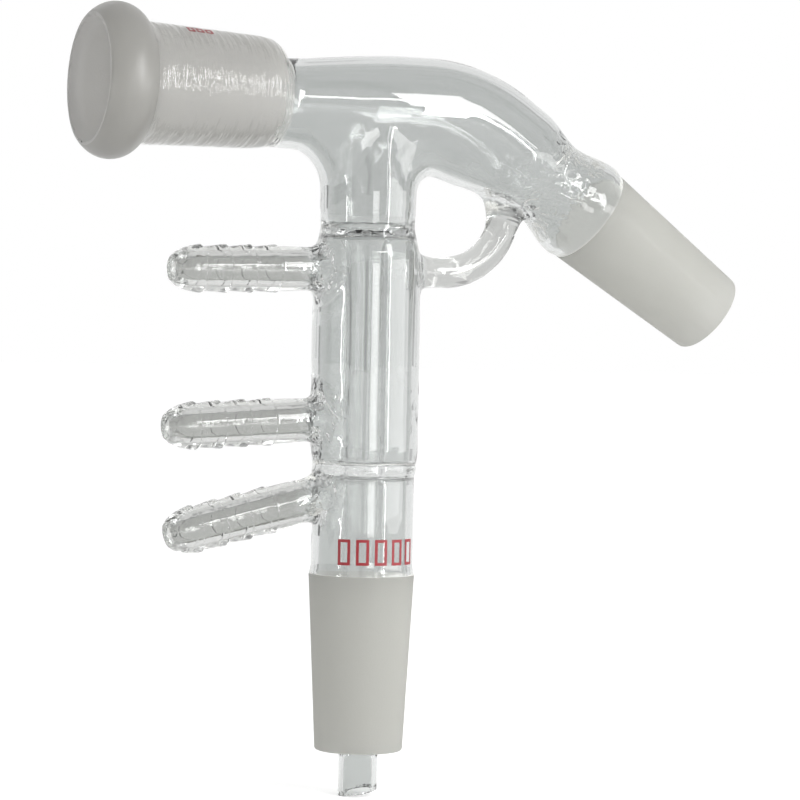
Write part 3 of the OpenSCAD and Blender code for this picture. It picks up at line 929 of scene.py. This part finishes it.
low = cad_box[0][2]
table = bmesh.new()
bmesh.ops.create_grid(table, x_segments=1, y_segments=1, size=table_reach)
bmesh.ops.translate(table, verts=table.verts, vec=(0, 0, low))
floor = as_object(table, "floor")
# Matt white paper, which has no gloss and lifts to the tent's white when it is seen.
paper, tree = new_material("white_paper")
ray = add(tree, "ShaderNodeLightPath", {}).outputs
matt = add(tree, "ShaderNodeBsdfDiffuse", {"Color": colour("E8E8E8")})
light = add(tree, "ShaderNodeEmission", {"Color": colour("FFFFFF"), "Strength": paper_glow})
both = add(tree, "ShaderNodeAddShader", {0: matt.outputs[0], 1: light.outputs[0]})
mix = add(tree, "ShaderNodeMixShader", {0: sees_white(tree, ray), 1: matt.outputs[0],
                                        2: both.outputs[0]})
add(tree, "ShaderNodeOutputMaterial", {"Surface": mix.outputs[0]})
floor.data.materials.append(paper)

world = bpy.data.worlds.new("studio")
bpy.context.scene.world = world
world.use_nodes = True
tree = world.node_tree
tree.nodes.clear()
ray = add(tree, "ShaderNodeLightPath", {}).outputs
way = add(tree, "ShaderNodeTexCoord", {}).outputs["Generated"]
way = add(tree, "ShaderNodeSeparateXYZ", {"Vector": way}).outputs
# Narrow gaps stand between the panels, save straight behind the piece.
bearing = add(tree, "ShaderNodeMath", {0: way["X"], 1: way["Y"]}, operation="ARCTAN2")
bearing = add(tree, "ShaderNodeMath", {0: bearing.outputs[0], 1: tent_panels},
              operation="MULTIPLY")
gap = add(tree, "ShaderNodeMath", {0: bearing.outputs[0]}, operation="COSINE")
panels = add(tree, "ShaderNodeMapRange", {
    "Value": gap.outputs[0], "From Min": gap_edges[0], "From Max": gap_edges[1],
    "To Min": gap_tone, "To Max": 1.0})
behind = add(tree, "ShaderNodeMath", {0: way["Y"], 1: behind_y}, operation="GREATER_THAN")
tent = add(tree, "ShaderNodeMath", {0: panels.outputs[0], 1: behind.outputs[0]},
           operation="MAXIMUM")
# Two dark slits on the socket's side stand where the steep faces of the hose ridges
# turn the eye, one up and over the tent and one straight out. They draw the rings.
from_slit = add(tree, "ShaderNodeMath", {0: way["X"], 1: -slit_x})
from_slit = add(tree, "ShaderNodeMath", {0: from_slit.outputs[0]}, operation="ABSOLUTE")
tent = add(tree, "ShaderNodeMapRange", {
    "Value": from_slit.outputs[0], "From Min": slit_edges[0], "From Max": slit_edges[1],
    "To Min": slit_tone, "To Max": tent.outputs[0]})
tent = add(tree, "ShaderNodeMapRange", {
    "Value": way["X"], "From Min": side_edges[0], "From Max": side_edges[1],
    "To Min": side_tone, "To Max": tent.outputs[0]})
level = add(tree, "ShaderNodeMix", {0: sees_white(tree, ray), 2: tent_fill,
                                    3: tent.outputs[0]})
# The background itself is plain white.
level = add(tree, "ShaderNodeMath", {0: level.outputs[0], 1: ray["Is Camera Ray"]},
            operation="MAXIMUM")
sky = add(tree, "ShaderNodeBackground", {"Color": colour("FFFFFF"),
                                         "Strength": level.outputs[0]})
add(tree, "ShaderNodeOutputWorld", {"Surface": sky.outputs[0]})


def soft_box(name, at, to, size, power, on_matt=1.0):
    """A lamp at one place, turned to another, in metres and watts. on_matt is the share
    of it that matt faces get."""
    lamp = bpy.data.lights.new(name, "AREA")
    lamp.shape = "RECTANGLE"
    lamp.size, lamp.size_y = size
    lamp.energy = power
    lamp.diffuse_factor = on_matt
    box = bpy.data.objects.new(name, lamp)
    aim = (Vector(to) - Vector(at)).to_track_quat("-Z", "Y").to_matrix().to_4x4()
    box.matrix_world = Matrix.Translation(at) @ aim
    bpy.context.scene.collection.objects.link(box)


soft_box("window", (0.31, -0.62, 0.36), (0, 0, 0.12), (0.16, 0.3), 1.7)
soft_box("window_left", (0.12, -0.68, 0.33), (0, 0, 0.12), (0.26, 0.05), 0.5)
soft_box("window_edge", (0.31, -0.62, 0.15), (0, 0, 0.1), (0.023, 0.4), 0.85)
soft_box("left_edge", (-0.7, -0.16, 0.08), (0, 0, 0.08), (0.032, 0.15), 0.36)
soft_box("front_strip", (-0.09, -1.0, 0.07), (0, 0, 0.07), (0.26, 0.18), 0.8)
soft_box("key", (0.55, -0.80, 0.35), (0, 0, 0.1), (1.1, 0.9), 0.8)
soft_box("right_side", (0.78, -0.6, 0.09), (0, 0, 0.1), (0.9, 0.22), 2.2, 0.5)


# ---- Camera -----------------------------------------------------------------------------
# It stands 25 degrees round from the front, on the socket's side, about level with the
# middle of the piece, and is rolled about a degree. Light may bounce often enough to
# get through all the walls of glass.
camera_place = (-277.265, -602.252, 88.541)
camera_turn = 25.4172             # degrees from straight ahead, clockwise seen from above
camera_dip = 0.7678
camera_roll = 1.0899
glass_bounces = 32
lens = bpy.data.cameras.new("camera")
lens.lens = 131.3
lens.sensor_width = 36
camera = bpy.data.objects.new("camera", lens)
camera.matrix_world = (Matrix.Translation(Vector(camera_place) * mm)
                       @ Matrix.Rotation(radians(-camera_turn), 4, "Z")
                       @ Matrix.Rotation(radians(90 - camera_dip), 4, "X")
                       @ Matrix.Rotation(radians(camera_roll), 4, "Z"))
bpy.context.scene.collection.objects.link(camera)
bpy.context.scene.camera = camera
bpy.context.scene.view_settings.view_transform = "Standard"
bpy.context.scene.cycles.max_bounces = glass_bounces
bpy.context.scene.cycles.transmission_bounces = glass_bounces
bpy.context.scene.cycles.glossy_bounces = 16
